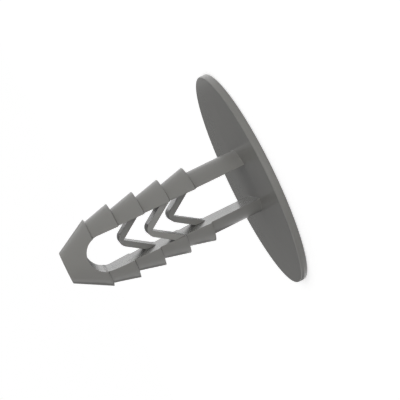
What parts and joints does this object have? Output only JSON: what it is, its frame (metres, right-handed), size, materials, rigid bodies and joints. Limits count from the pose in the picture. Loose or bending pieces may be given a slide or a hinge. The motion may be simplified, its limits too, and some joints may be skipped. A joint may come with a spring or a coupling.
{
  "type": "trim clip",
  "caption": "Push-in trim clip: a thin flat round head on a slotted round shank with saw-tooth barbs, its legs held apart by V-shaped spring webs; holds a panel in a hole.",
  "frame": {"origin": "centre of the head's flat outer face, on which the clip stands", "axes": "+Z along the shank, from the head to the tip; Y along the slot that goes through the shank, with -Y the side of the middle web; X across the two legs"},
  "size_m": [0.02, 0.02, 0.0181],
  "materials": {
    "grey_plastic": "smooth moulded satin grey"
  },
  "bodies": {
    "root": {"trim_clip": "grey_plastic"}
  },
  "joints": []
}
